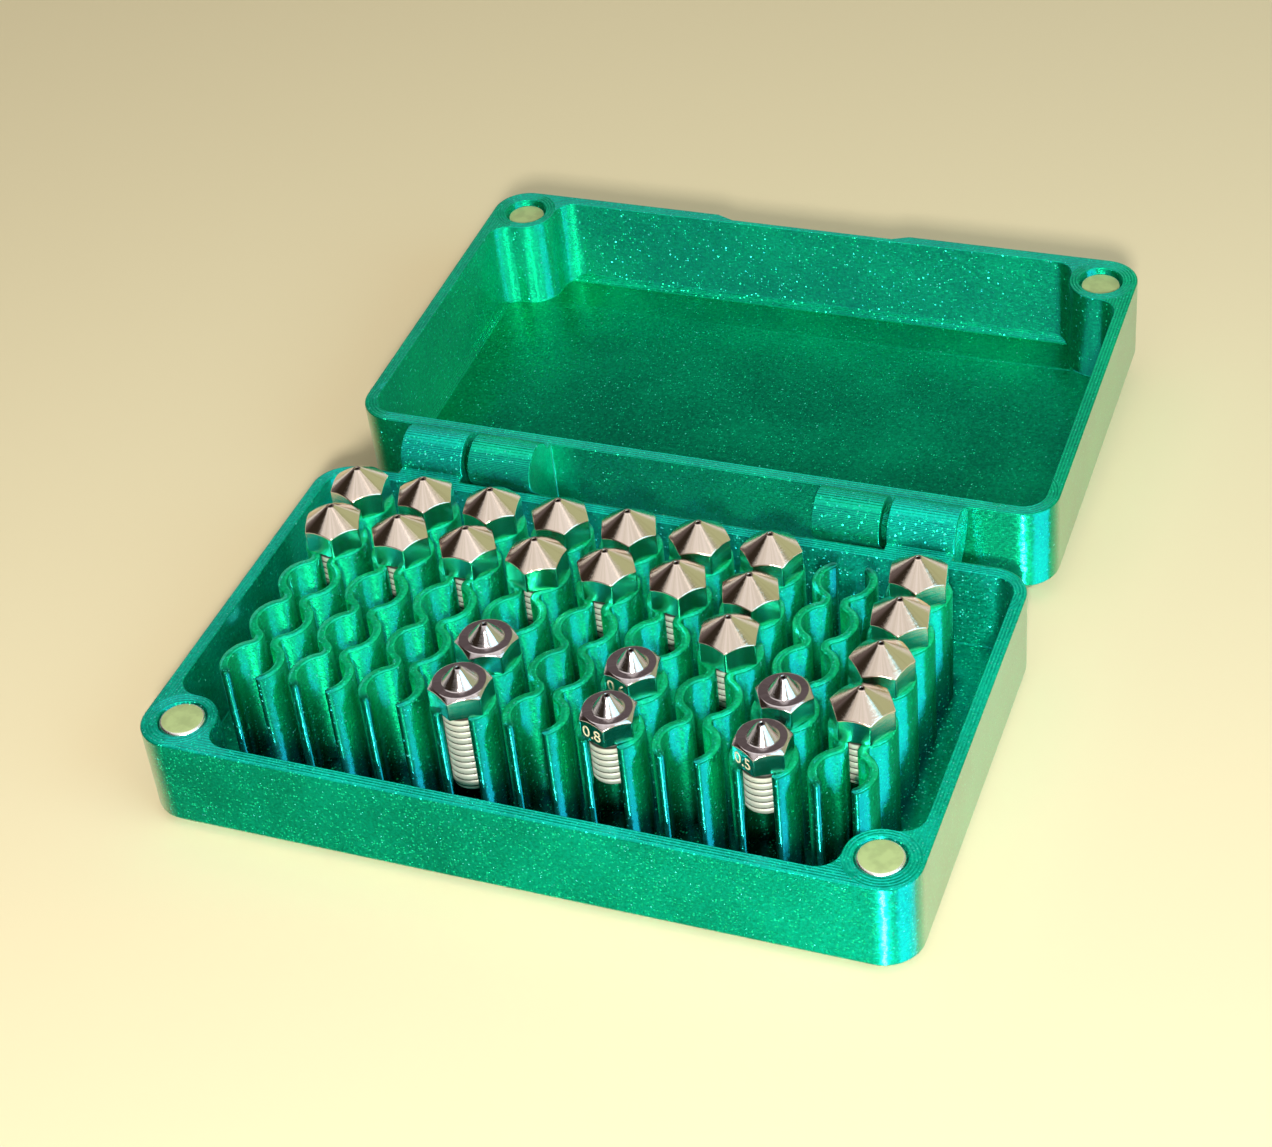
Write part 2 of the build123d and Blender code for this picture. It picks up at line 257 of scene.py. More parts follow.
def silk_print(name, middle, tilt, lines, deep, bright, glitter):
    """Glittering silk filament for a body printed about that middle and tilted by those radians about X.

    Three shaders are mixed. The pigment's normal leans with each rounded layer or bead, and its glitter
    flecks lean their own way. The skin's normal leans with the shoulder of each layer, which draws lights
    out into upright streaks on round corners. The third is the skin seen along an outer wall.
    """
    constants = {"Specular Tint": (*PRINT_TINT, 1), "IOR": PRINT_IOR}
    finish, nodes, shader = new_finish(name, constants)
    place = nodes.make("ShaderNodeTexCoord", output=3)
    place = nodes.vector("SUBTRACT", place, tuple(c * MM for c in middle))
    to_mm = {"Vector": place, "Rotation": (-tilt, 0, 0), "Scale": (1 / MM, 1 / MM, 1 / MM)}
    place = nodes.make("ShaderNodeMapping", None, to_mm)
    z = nodes.axis(place, 2)
    facing = nodes.make("ShaderNodeTexCoord", output=1)
    upward = (0, -sin(tilt), cos(tilt))
    upright = abs(nodes.dot(facing, upward)).step(*WALL_RISE)
    rim = (1 - upright) * z.step(RIM_HEIGHT - 1, RIM_HEIGHT)
    across, depth, outside, light = lines(nodes, place)
    untilt = {"Vector": across, "Rotation": (tilt, 0, 0)}
    across = nodes.make("ShaderNodeMapping", {"vector_type": "VECTOR"}, untilt)
    to_world = {"vector_type": "VECTOR", "convert_from": "OBJECT", "convert_to": "WORLD"}
    upward = nodes.make("ShaderNodeVectorTransform", to_world, {0: upward})
    across = nodes.make("ShaderNodeVectorTransform", to_world, {0: across})
    outward = nodes.make("ShaderNodeNewGeometry", output=1)

    patches = nodes.noise(place, PATCH_SCALE, NOISE_DETAIL)
    grain = nodes.noise(place, GRAIN_SCALE, NOISE_DETAIL)
    stretched = nodes.vector("MULTIPLY", place, GRAIN_STRETCH)
    grain_way = nodes.noise(stretched, GRAIN_SCALE, NOISE_DETAIL, 1)
    drift_way = nodes.noise(place, DRIFT_SCALE, 2.0, 1)
    phase = (z + grain * LAYER_WOBBLE) * (2 * pi / LAYER)
    layers = phase.sum("SINE", phase)
    phase = (depth + grain * BEAD_WOBBLE) * (2 * pi / BEAD)
    beads = phase.sum("SINE", phase)

    cells = {"Vector": place, "Scale": CELL_SCALE, "Randomness": 1.0}
    near = nodes.make("ShaderNodeTexVoronoi", None, cells)
    lots = nodes.make("ShaderNodeTexVoronoi", None, cells, 1)
    chance, tint, size = (nodes.make("ShaderNodeSeparateColor", None, {0: lots}, part) for part in range(3))
    rare = tint.step(*RARE_LOTS)
    pale = tint.step(*PALE_LOTS)
    fleck = (near - size * FLECK_SHRINK).step(*FLECK_EDGE) * chance.step(1 - glitter, 1.04 - glitter)
    plain = 1 - fleck

    def spread(lots):
        return nodes.vector("SUBTRACT", lots, (0.5, 0.5, 0.5))

    def leaned(normal, direction, share):
        return nodes.vector("ADD", normal, nodes.scaled(direction, share))

    normal = leaned(outward, upward, layers * plain * upright * LAYER_LEAN)
    normal = leaned(normal, across, beads * plain * rim * BEAD_LEAN)
    normal = leaned(normal, spread(grain_way), plain * GRAIN_LEAN)
    normal = leaned(normal, spread(lots), fleck * (rare * RARE_LEAN + FLECK_LEAN))
    tone = (patches * 0.5 + grain * 0.5).step(*PRINT_PATCHES).mix(deep, bright)
    # Painted light and shade: the colour is scaled by the lines' painted light, and is lighter on the rim's
    # level faces.
    tone = nodes.scaled(tone, light * (1 + rim * RIM_PAINTED_LIGHT))
    # The flecks' bright tints are partly painted glints.
    fleck_tint_and_glint = pale.mix(tint.step(*GREEN_TO_CYAN).mix(FLECK_GREEN, FLECK_CYAN), FLECK_PALE)
    tone = (fleck * (FLECK_FAINTEST + tint * (1 - FLECK_FAINTEST))).mix(tone, fleck_tint_and_glint)
    dulled = rim * RIM_DULLING + fleck * (pale * PALE_DULLING + FLECK_DULLING)
    nodes.feed(shader.inputs["Base Color"], tone)
    nodes.feed(shader.inputs["Metallic"], PRINT_METAL - dulled)
    roughness = PRINT_ROUGHNESS - rare * fleck * RARE_POLISH + grain * GRAIN_ROUGHNESS
    nodes.feed(shader.inputs["Roughness"], roughness)
    nodes.feed(shader.inputs["Normal"], nodes.vector("NORMALIZE", normal))

    normal = leaned(outward, upward, (layers * SHOULDER_RIPPLE + SHOULDER_LEAN) * upright)
    normal = leaned(normal, across, beads * rim * SKIN_BEAD_LEAN)
    normal = leaned(normal, spread(drift_way), DRIFT_LEAN)
    skin = {
        "Base Color": (*PRINT_GLOSS, 1),
        "Metallic": 1.0,
        "Roughness": GLOSS_ROUGHNESS,
        "Normal": nodes.vector("NORMALIZE", normal),
    }
    skin = nodes.make("ShaderNodeBsdfPrincipled", None, skin)
    shares = {0: rim * RIM_GLOSS + GLOSS_SHARE, 1: Shade(finish.node_tree, shader.outputs[0]), 2: skin}
    printed = nodes.make("ShaderNodeMixShader", None, shares)
    grazed = {"Base Color": (*PRINT_GRAZED, 1), "Metallic": 1.0, "Roughness": PRINT_ROUGHNESS}
    grazed = nodes.make("ShaderNodeBsdfPrincipled", None, grazed)
    along = nodes.make("ShaderNodeLayerWeight", None, {"Blend": 0.5}, 1).step(*GRAZED_FACING)
    shares = {0: along * outside * upright * GRAZED_SHARE, 1: printed, 2: grazed}
    printed = nodes.make("ShaderNodeMixShader", None, shares)
    nodes.feed(finish.node_tree.nodes["Material Output"].inputs["Surface"], printed)
    return finish


def softened(node, name, finish, body):
    """A merged copy of a CAD node with its printed edges rounded; it stands for the node."""
    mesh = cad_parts[node].data.copy()
    shape = bmesh.new()
    shape.from_mesh(mesh)
    bmesh.ops.remove_doubles(shape, verts=shape.verts, dist=MERGE)
    bmesh.ops.dissolve_limit(shape, angle_limit=radians(FLAT_ANGLE), verts=shape.verts, edges=shape.edges)
    shape.to_mesh(mesh)
    shape.free()
    mesh.materials.clear()
    mesh.materials.append(finish)
    mesh.shade_smooth()
    mesh.set_sharp_from_angle(angle=radians(EDGE_ANGLE))
    piece = bpy.data.objects.new(name, mesh)
    bpy.context.scene.collection.objects.link(piece)
    edge = piece.modifiers.new("printed edge", "BEVEL")
    edge.width = PRINT_EDGE
    edge.segments = 2
    edge.limit_method = "ANGLE"
    edge.angle_limit = radians(EDGE_ANGLE)
    edge.harden_normals = True
    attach(piece, body)
    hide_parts(node)


tray_finish = silk_print(
    "silk_print_tray", (0, 0, 0), 0, tray_lines, PRINT_DEEP, PRINT_BRIGHT, TRAY_GLITTER
)
softened("base_tray", "tray_print", tray_finish, "base")

# The rack: nine columns of two serpentine walls, printed on the tray's floor. Each wall swells round five
# rings and pinches between them, and its two ends stop short so that every column is open at both ends.
COLUMNS = 9
ROWS = 5
ROW_PITCH = 8.25 * MM
RING_MIDDLE = 3.55 * MM
RING_WALL = 1.2 * MM
RING_POINTS = 17
NECK_MIDDLE = 1.2 * MM
NECK_POINTS = 15
END_MIDDLE = 2.4 * MM
END_ROUNDING = (20, 40, 60, 75, 85, 90)
CREST_RADIUS = 0.22 * MM
CREST_ROUNDING = (0, 30, 60, 90)
CREST_BEAD = 0.175
WELD = 1e-8
SMOOTH_ANGLE = 38

# Painted shade: the slots between the walls are painted darker from their crests down, and each wall is
# painted darker in its last 1.7 mm.
# The rack's colours are a greener copy of the tray's filament: painted light bounced between its green walls.
RACK_DEEP = (0.0008, 0.300, 0.090)
RACK_BRIGHT = (0.0020, 0.560, 0.190)
RACK_GLITTER = 0.42
SLOT_HEIGHTS = (1.5, 14.0)
SLOT_DARK = 0.12
SLOT_LIGHT = 1.15
END_LENGTH = 1.7
END_SHADE = 0.7


def wall_lines(nodes, place):
    """What rim_lines gives, for a rack wall: its crest's lines are in its mesh, no side is outside, and its
    light is painted shade.
    """
    across = nodes.stored("across", 1)
    inward = nodes.stored("inward", 2)
    painted_slot_light = nodes.axis(place, 2).step(*SLOT_HEIGHTS) * SLOT_LIGHT + SLOT_DARK
    return across, inward, 0.0, painted_slot_light * (1 - nodes.stored("ends", 2) * END_SHADE)


def serpentine():
    """The middle line of a right-hand wall, its outward normals and half widths, front to back.

    Ring arcs are tangent to the smaller neck arcs between them. Past each end the half width falls along
    a quarter circle, which rounds the end off.
    """
    half_pitch = ROW_PITCH / 2
    bend = (NECK_MIDDLE**2 + half_pitch**2 - RING_MIDDLE**2) / (2 * (RING_MIDDLE - NECK_MIDDLE))
    neck_x = NECK_MIDDLE + bend
    swing = atan2(half_pitch, neck_x)
    stop = acos(END_MIDDLE / RING_MIDDLE)
    points, normals = [], []
    for row in range(ROWS):
        centre = np.array([0, (row - (ROWS - 1) / 2) * ROW_PITCH])
        last = row == ROWS - 1
        turn = np.linspace(-swing if row else -stop, stop if last else swing, RING_POINTS)
        out = np.stack([np.cos(turn), np.sin(turn)], 1)
        if not last:
            out = out[:-1]
        points.append(centre + RING_MIDDLE * out)
        normals.append(out)
        if not last:
            turn = np.linspace(pi + swing, pi - swing, NECK_POINTS)[:-1]
            out = np.stack([np.cos(turn), np.sin(turn)], 1)
            points.append(centre + [neck_x, half_pitch] + bend * out)
            normals.append(-out)
    points, normals = np.concatenate(points), np.concatenate(normals)
    cap = np.radians(END_ROUNDING)
    reach = np.sin(cap) * RING_WALL / 2
    shrunk = np.cos(cap) * RING_WALL / 2
    behind = np.outer(reach, [normals[0][1], -normals[0][0]])
    ahead = np.outer(reach, [-normals[-1][1], normals[-1][0]])
    halves = np.concatenate([shrunk[::-1], np.full(len(points), RING_WALL / 2), shrunk])
    points = np.concatenate([(points[0] + behind)[::-1], points, points[-1] + ahead])
    ends = [np.tile(normals[place], (len(cap), 1)) for place in (0, -1)]
    return points, np.concatenate([ends[0], normals, ends[1]]), halves


def grid_mesh(name, grid, closed_rows, closed_columns):
    """A mesh over a grid of points (rows, columns, 3), joined up round the closed directions."""
    rows, columns = grid.shape[:2]
    index = np.arange(rows * columns).reshape(rows, columns)
    if closed_rows:
        index = np.concatenate([index, index[:1]])
    if closed_columns:
        index = np.concatenate([index, index[:, :1]], 1)
    corners = [index[:-1, :-1], index[:-1, 1:], index[1:, 1:], index[1:, :-1]]
    mesh = bpy.data.meshes.new(name)
    mesh.from_pydata(grid.reshape(-1, 3), [], np.stack(corners, -1).reshape(-1, 4))
    return mesh


def welded(name, parts, distance):
    """One mesh of those parts, with points nearer to one another than that distance made one."""
    shape = bmesh.new()
    for part in parts:
        shape.from_mesh(part)
    bmesh.ops.remove_doubles(shape, verts=shape.verts, dist=distance)
    mesh = bpy.data.meshes.new(name)
    shape.to_mesh(mesh)
    shape.free()
    return mesh


def keep(mesh, name, kind, values):
    """Keep a vector or a number for every point of the mesh, which its material reads by that name."""
    field = "vector" if kind == "FLOAT_VECTOR" else "value"
    layer = mesh.attributes.new(name, kind, "POINT")
    layer.data.foreach_set(field, values.astype(np.float32).ravel())


def add_piece(name, mesh, finish, body, node=None):
    """A finished piece of the object on its CAD body, standing for a CAD node where it names one."""
    mesh.materials.append(finish)
    mesh.shade_smooth()
    mesh.set_sharp_from_angle(angle=radians(SMOOTH_ANGLE))
    piece = bpy.data.objects.new(name, mesh)
    bpy.context.scene.collection.objects.link(piece)
    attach(piece, body)
    if node:
        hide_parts(node)


def rack_wall(centre, low, top, side):
    """One wall: a cross-section with a rounded crest, carried along the serpentine line.

    Each point is the middle line plus its share of the half width along the normal, at its own height. The
    mesh keeps the normal, how far in the point lies, and how near it is to the wall's end.
    """
    points, normals, halves = serpentine()
    crest = np.radians(CREST_ROUNDING)
    share = np.concatenate([[-1], -1 + (1 - np.cos(crest)) * CREST_RADIUS / (RING_WALL / 2)])
    share = np.concatenate([share, -share[::-1]])
    height = np.concatenate([[low], top - CREST_RADIUS * (1 - np.sin(crest))])
    height = np.concatenate([height, height[::-1]])
    flat = points[:, None] + (halves[:, None] * share)[..., None] * normals[:, None]
    grid = np.empty((*flat.shape[:2], 3))
    grid[..., 0] = centre[0] + side * flat[..., 0]
    grid[..., 1] = centre[1] + flat[..., 1]
    grid[..., 2] = height
    across = np.zeros_like(grid)
    across[..., 0] = side * normals[:, None, 0]
    across[..., 1] = normals[:, None, 1]
    inward = halves[:, None] * share / MM * CREST_BEAD
    walked = np.concatenate([[0], np.cumsum(np.linalg.norm(np.diff(points, axis=0), axis=1))])
    walked = np.minimum(walked, walked[-1] - walked) / MM
    if side > 0:
        grid, across, inward = grid[:, ::-1], across[:, ::-1], inward[:, ::-1]
    mesh = grid_mesh("rack_wall", grid, False, True)
    keep(mesh, "across", "FLOAT_VECTOR", across)
    keep(mesh, "inward", "FLOAT", inward)
    keep(mesh, "ends", "FLOAT", np.repeat(np.clip(END_LENGTH - walked, 0, 1), grid.shape[1]))
    return mesh


rack_finish = silk_print(
    "silk_print_rack", (0, 0, 0), 0, wall_lines, RACK_DEEP, RACK_BRIGHT, RACK_GLITTER
)
for number in range(1, COLUMNS + 1):
    node = f"rack_column_{number}"
    low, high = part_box(node)
    centre = ((low.x + high.x) / 2, (low.y + high.y) / 2)
    walls = [rack_wall(centre, low.z, high.z, side) for side in (-1, 1)]
    mesh = welded(f"rack_{number}", walls, WELD)
    add_piece(f"rack_walls_{number}", mesh, rack_finish, "base", node)

# The front magnets: nickel-plated discs, 6 mm across, pressed in flush with the tray's rim. The lid's pair
# is the same. Their plate's olive tone is a painted reflection, its rounded edge is polished and painted
# white as a highlight, and it is duller on its face.
MAGNET_RADIUS = 3.0 * MM
MAGNET_HALF = 1.0 * MM
MAGNET_EDGE = 0.48 * MM
MAGNET_ROUNDING = (0, 18, 36, 54, 72, 90)
MAGNET_SIDES = 64
MAGNET_WELD = 3e-6
PLATE_REFLECTED_TONE = (0.50, 0.60, 0.26)
PLATE_DARKENING = 0.85
PLATE_PATCHES = (0.35, 0.65)
PLATE_METAL = 0.4
PLATE_ROUGHNESS = 0.40
PLATE_MOTTLE = 0.12
PLATE_CLOUDS = 700.0
PLATE_GRAIN = 9000.0
PLATE_BUMP = 0.02 * MM
PLATE_EDGE_HIGHLIGHT = (0.98, 0.97, 0.92)
PLATE_EDGE_RISE = (0.985, 0.94)
PLATE_EDGE_POLISH = 0.22


def plated_disc():
    """Satin nickel plate, a little mottled, painted olive as a reflection, with a polished edge painted white
    as a highlight where its normal leans off the axis.
    """
    finish, nodes, shader = new_finish("magnet_plate", {})
    place = nodes.make("ShaderNodeTexCoord", output=3)
    cloud = nodes.noise(place, PLATE_CLOUDS, 4.0)
    fine = nodes.noise(place, PLATE_GRAIN, 2.0)
    facing = nodes.make("ShaderNodeTexCoord", output=1)
    edge = nodes.axis(facing, 2).step(*PLATE_EDGE_RISE)
    darker = tuple(PLATE_DARKENING * c for c in PLATE_REFLECTED_TONE)
    face = cloud.step(*PLATE_PATCHES).mix(darker, PLATE_REFLECTED_TONE)
    # Painted reflection and highlight: the face's olive tone and the edge's white.
    nodes.feed(shader.inputs["Base Color"], edge.mix(face, PLATE_EDGE_HIGHLIGHT))
    nodes.feed(shader.inputs["Metallic"], edge * (1 - PLATE_METAL) + PLATE_METAL)
    roughness = PLATE_ROUGHNESS + cloud * PLATE_MOTTLE - edge * PLATE_EDGE_POLISH
    nodes.feed(shader.inputs["Roughness"], roughness)
    bump = {"Distance": PLATE_BUMP, "Height": fine}
    nodes.feed(shader.inputs["Normal"], nodes.make("ShaderNodeBump", None, bump))
    return finish


def turned_grid(radii, heights, angles):
    """Points of a turned surface: radius and height (stations, or stations by angles) round the Z axis."""
    wide = (len(heights), len(angles))
    radii = np.broadcast_to(radii if np.ndim(radii) == 2 else np.asarray(radii)[:, None], wide)
    heights = np.broadcast_to(heights if np.ndim(heights) == 2 else np.asarray(heights)[:, None], wide)
    return np.stack([radii * np.cos(angles), radii * np.sin(angles), heights], -1)


def magnet_disc(node, name, body, tilt):
    """A disc about its CAD node's middle: a profile with quarter circles at both edges, swept round."""
    low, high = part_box(node)
    bevel = np.radians(MAGNET_ROUNDING)
    edge_r = MAGNET_RADIUS - MAGNET_EDGE * (1 - np.cos(bevel))
    edge_z = MAGNET_HALF - MAGNET_EDGE * (1 - np.sin(bevel))
    face_r = np.array([1e-6, MAGNET_RADIUS * 0.5])
    face_z = np.array([MAGNET_HALF, MAGNET_HALF])
    radii = np.concatenate([face_r, edge_r[::-1], edge_r, face_r[::-1]])
    heights = np.concatenate([-face_z, -edge_z[::-1], edge_z, face_z])
    angles = np.linspace(0, 2 * pi, MAGNET_SIDES + 1)[:-1]
    disc = grid_mesh("disc", turned_grid(radii, heights, angles), False, True)
    mesh = welded(name, [disc], MAGNET_WELD)
    mesh.transform(Matrix.Translation((low + high) / 2) @ Matrix.Rotation(tilt, 4, "X"))
    add_piece(name, mesh, magnet_finish, body, node)


magnet_finish = plated_disc()
for side in ("left", "right"):
    magnet_disc(f"base_magnet_{side}", f"tray_magnet_{side}", "base", 0)

# The lid: the same filament and outline as the tray, deeper, with a chamfered outer edge, printed in place on
# its hinge. It lies open, a little short of flat, so its layers are tilted with it. Its pattern is placed so
# that its rim comes at the same height as the tray's does.
# The lid's colours are a darker, greener copy of the tray's filament: painted shade.
LID_DEEP = (0.0008, 0.285, 0.112)
LID_BRIGHT = (0.0012, 0.570, 0.228)
LID_GLITTER = 0.22
LID_TILT = radians(2.3)
TRAY_HEIGHT = 13.7
LID_HEIGHT = 15.4
HINGE_Y = 33.7
HINGE_Z = 14.55
HINGE_TO_LID = 4.5
HINGE_ABOVE_LID = 14.75

lid_across = BOX_DEPTH / 2 + HINGE_TO_LID
lid_below = HINGE_ABOVE_LID - (LID_HEIGHT - TRAY_HEIGHT)
lid_middle = (
    0,
    HINGE_Y + lid_across * cos(LID_TILT) + lid_below * sin(LID_TILT),
    HINGE_Z + lid_across * sin(LID_TILT) - lid_below * cos(LID_TILT),
)
lid_finish = silk_print(
    "silk_print_lid", lid_middle, LID_TILT, rim_lines, LID_DEEP, LID_BRIGHT, LID_GLITTER
)
softened("lid", "lid_print", lid_finish, "lid")
for side in ("left", "right"):
    magnet_disc(f"lid_magnet_{side}", f"lid_disc_{side}", "lid", LID_TILT)

# The nozzles: turned from hexagon bar, M6 thread below, a seat, a hexagon and a cone up to the orifice.
# Nineteen are nickel-plated with one cone that cuts the whole hexagon; six are bare steel with a shoulder.
# They stand loose in the rings: each rides on a body of its own, which lifts straight out.
THREAD_PITCH = 1.0 * MM
THREAD_ROOT = 2.70 * MM
THREAD_CREST = 2.88 * MM
THREAD_STEPS = 9
THREAD_START = 0.15 * MM
THREAD_FADE = 0.6 * MM
RELIEF = 0.8 * MM
SHANK_CHAMFER = 0.1 * MM
SEAT_CORNER = 0.02 * MM
BORE = 1.0 * MM
ORIFICE = 0.26 * MM
ORIFICE_EDGE = 0.05 * MM
ORIFICE_DEPTH = 0.8 * MM
TIP = 0.5 * MM
TIP_ROUNDING = 0.03 * MM
HEX_EDGE = 0.12 * MM
HEX_HEIGHT = 3.0 * MM
HEX_CORNER = 0.05 * MM
HEX_ANGLES = (0, 0.7, 1.5, 3, 7, 14, 22, 30, 38, 46, 53, 57, 58.5, 59.3)
SHOULDER_DROP = 0.55 * MM
CONE_SHARES = (0.03, 0.25, 0.5, 0.75, 0.97)

NICKEL_TONE = (0.84, 0.74, 0.64)
NICKEL_SHADE = (0.50, 0.40, 0.28)
NICKEL_STREAKS = 0.35
STEEL_TONE = (0.70, 0.65, 0.66)
STEEL_SHADE = (0.45, 0.40, 0.38)
STEEL_STREAKS = 0.4
THREAD_TONE = (0.62, 0.62, 0.52)
THREAD_GROOVE_SHADE = (0.05, 0.045, 0.035)
GROOVE_DEPTHS = (0.60, 0.96)
THREAD_TOP = (-0.3, -0.7)
THREAD_DULLING = 0.6
THREAD_ROUGHNESS = 0.40
METAL_ROUGHNESS = 0.07
WIDE_STREAKS = 1.6
NARROW_STREAKS = 7.0
STREAK_EDGE = (0.36, 0.60)
TOOL_LINES = 28.0
TOOL_ROUGHNESS = 0.08
TOOL_BUMP = 0.02 * MM
TOOL_STRENGTH = 0.3


def turned_metal(name, tone, shade, streaks):
    """Bright turned metal: fine tool lines round the axis, soft streaks up the cone painted darker as
    reflections, and a duller thread with painted shade in its roots.

    The attribute around holds each point's direction from the nozzle's axis and its height in mm, and cut
    how deep it lies in the thread, from 0 at the crest to 1 at the root.
    """
    finish, nodes, shader = new_finish(name, {})
    around = nodes.stored("around", 1)
    direction = nodes.vector("MULTIPLY", around, (1, 1, 0))
    height = nodes.axis(around, 2)
    thread = height.step(*THREAD_TOP)
    wide = nodes.noise(direction, WIDE_STREAKS, 1.0)
    narrow = nodes.noise(direction, NARROW_STREAKS, 2.0)
    # Painted reflection: darker streaks up the cone, by the way from the axis.
    reflection_streak = (wide * 0.6 + narrow * 0.4).step(*STREAK_EDGE)
    along = {"W": height, "Scale": TOOL_LINES, "Detail": 2.0}
    lines = nodes.make("ShaderNodeTexNoise", {"noise_dimensions": "1D"}, along)
    head = (reflection_streak * streaks + (1 - streaks)).mix(shade, tone)
    # Painted shade: the thread is painted nearly black towards its roots.
    thread_and_groove_shade = nodes.stored("cut", 2).step(*GROOVE_DEPTHS).mix(THREAD_TONE, THREAD_GROOVE_SHADE)
    nodes.feed(shader.inputs["Base Color"], thread.mix(head, thread_and_groove_shade))
    nodes.feed(shader.inputs["Metallic"], 1 - thread * THREAD_DULLING)
    roughness = METAL_ROUGHNESS + lines * TOOL_ROUGHNESS + thread * THREAD_ROUGHNESS
    nodes.feed(shader.inputs["Roughness"], roughness)
    bump = {"Strength": TOOL_STRENGTH, "Distance": TOOL_BUMP, "Height": lines}
    nodes.feed(shader.inputs["Normal"], nodes.make("ShaderNodeBump", None, bump))
    return finish


def nozzle_grid(flats, shank, tip_height, shoulder=None):
    """A whole nozzle as one closed turned surface, from the bore's mouth up round the tip and down inside.

    The hexagon's radius is half its flats over the cosine of the angle from the nearest flat, and the
    thread's is a rounded wave of height less angle. A shoulder is the radius of its flat land, its height
    and the radius of the small cone on it. Without one the cone starts at the hexagon itself, so that each
    flat ends in a scallop.
    """
    angles = np.radians((np.arange(6)[:, None] * 60 + np.array(HEX_ANGLES)).ravel())
    off_flat = np.radians((np.degrees(angles) % 60) - 30)
    corner = flats / sqrt(3)
    hexagon = np.minimum(flats / 2 / np.cos(off_flat), corner - HEX_CORNER)
    ones = np.ones(len(angles))
    radii, heights = [], []

    def station(radius, height):
        radii.append(radius * ones)
        heights.append(height * ones)

    # The end of the shank, with the bore's mouth in it, and the thread.
    station(BORE, -shank)
    station(THREAD_ROOT - SHANK_CHAMFER, -shank)
    levels = np.arange(-shank + THREAD_START, -RELIEF, THREAD_PITCH / THREAD_STEPS)
    fade = np.clip(np.minimum(levels + shank, -RELIEF - levels) / THREAD_FADE, 0, 1)
    for level, share in zip(levels, fade):
        wave = 0.5 + 0.5 * np.cos(2 * pi * level / THREAD_PITCH - angles)
        wave = (1 - (1 - wave) ** 3) * share
        station(THREAD_ROOT + (THREAD_CREST - THREAD_ROOT) * wave, level)
    # The relief under the head, the seat and the hexagon's lower edge.
    station(THREAD_ROOT, -RELIEF)
    station(THREAD_ROOT, -SEAT_CORNER)
    station(hexagon - HEX_EDGE * 1.5, 0)
    station(hexagon, HEX_EDGE)
    station(hexagon, HEX_EDGE * 1.3)
    # The hexagon's upper edge: chamfered down from a flat land, or cut by the cone.
    if shoulder:
        land, top, cone = shoulder
        edge = top - (hexagon - land) * (SHOULDER_DROP / (corner - land))
        station(hexagon, edge - HEX_EDGE * 0.8)
        station(hexagon, edge - HEX_EDGE / 2)
        station(hexagon - HEX_EDGE / 3, edge + HEX_EDGE / 6)
        station(hexagon - HEX_EDGE * 0.6, edge + HEX_EDGE * 0.45)
        station(land + HEX_EDGE * 0.8, top - HEX_EDGE * 0.45)
        station(land + HEX_EDGE / 2, top - HEX_EDGE / 4)
        station(land - HEX_EDGE / 2, top)
        station(land - HEX_EDGE * 0.8, top)
        station(cone + HEX_EDGE * 0.8, top)
        station(cone + HEX_EDGE / 2, top)
        station(cone - HEX_EDGE / 4, top + HEX_EDGE / 2)
        foot, start = top * ones, cone * ones
    else:
        slope = (tip_height - HEX_HEIGHT) / (corner - TIP)
        foot, start = tip_height - (hexagon - TIP) * slope, hexagon
        station(hexagon, foot - HEX_EDGE * 0.8)
        station(hexagon, foot - HEX_EDGE / 2)
        station(hexagon - HEX_EDGE / 2, foot + HEX_EDGE / 2 * slope)
    # The cone, its tip, and the orifice that opens into the bore.
    for share in CONE_SHARES:
        station(start + (TIP - start) * share, foot + (tip_height - foot) * share)
    station(TIP - TIP_ROUNDING, tip_height)
    station(ORIFICE + ORIFICE_EDGE, tip_height)
    station(ORIFICE, tip_height - ORIFICE_EDGE)
    station(ORIFICE, tip_height - ORIFICE_DEPTH)
    station(BORE, tip_height - 2 * ORIFICE_DEPTH)
    return turned_grid(np.array(radii), np.array(heights), angles)


# Each letter is a nozzle in its ring, with row 1 at the hinge, and each digit its turn in tens of degrees.
NOZZLE_PLAN = ("WWWWWWW.W", "WWWWWWW.W", "......W.W", "...L.S.SW", "...L.S.S.")
TURN_PLAN = ("4540511.4", "5003055.4", "......4.1", "...2.4.00", "...3.4.3.")
TURN_STEP = 10
nickel = turned_metal("nickel_nozzle", NICKEL_TONE, NICKEL_SHADE, NICKEL_STREAKS)
steel = turned_metal("steel_nozzle", STEEL_TONE, STEEL_SHADE, STEEL_STREAKS)
full_cone = nozzle_grid(flats=7.0 * MM, shank=7.4 * MM, tip_height=5.6 * MM)
short_steel = nozzle_grid(
    flats=6.4 * MM, shank=6.8 * MM, tip_height=5.2 * MM, shoulder=(2.98 * MM, 3.2 * MM, 1.96 * MM)
)
long_steel = nozzle_grid(
    flats=7.0 * MM, shank=12.4 * MM, tip_height=5.2 * MM, shoulder=(3.26 * MM, 3.2 * MM, 2.26 * MM)
)
KINDS = {
    "W": (full_cone, nickel, "bright_nozzle"),
    "S": (short_steel, steel, "dark_nozzle"),
    "L": (long_steel, steel, "dark_nozzle"),
}
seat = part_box("rack_column_1")[1].z
column_pitch = (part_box(f"rack_column_{COLUMNS}")[0].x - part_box("rack_column_1")[0].x) / (COLUMNS - 1)
low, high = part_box("rack_column_5")
rack_middle = (low + high) / 2
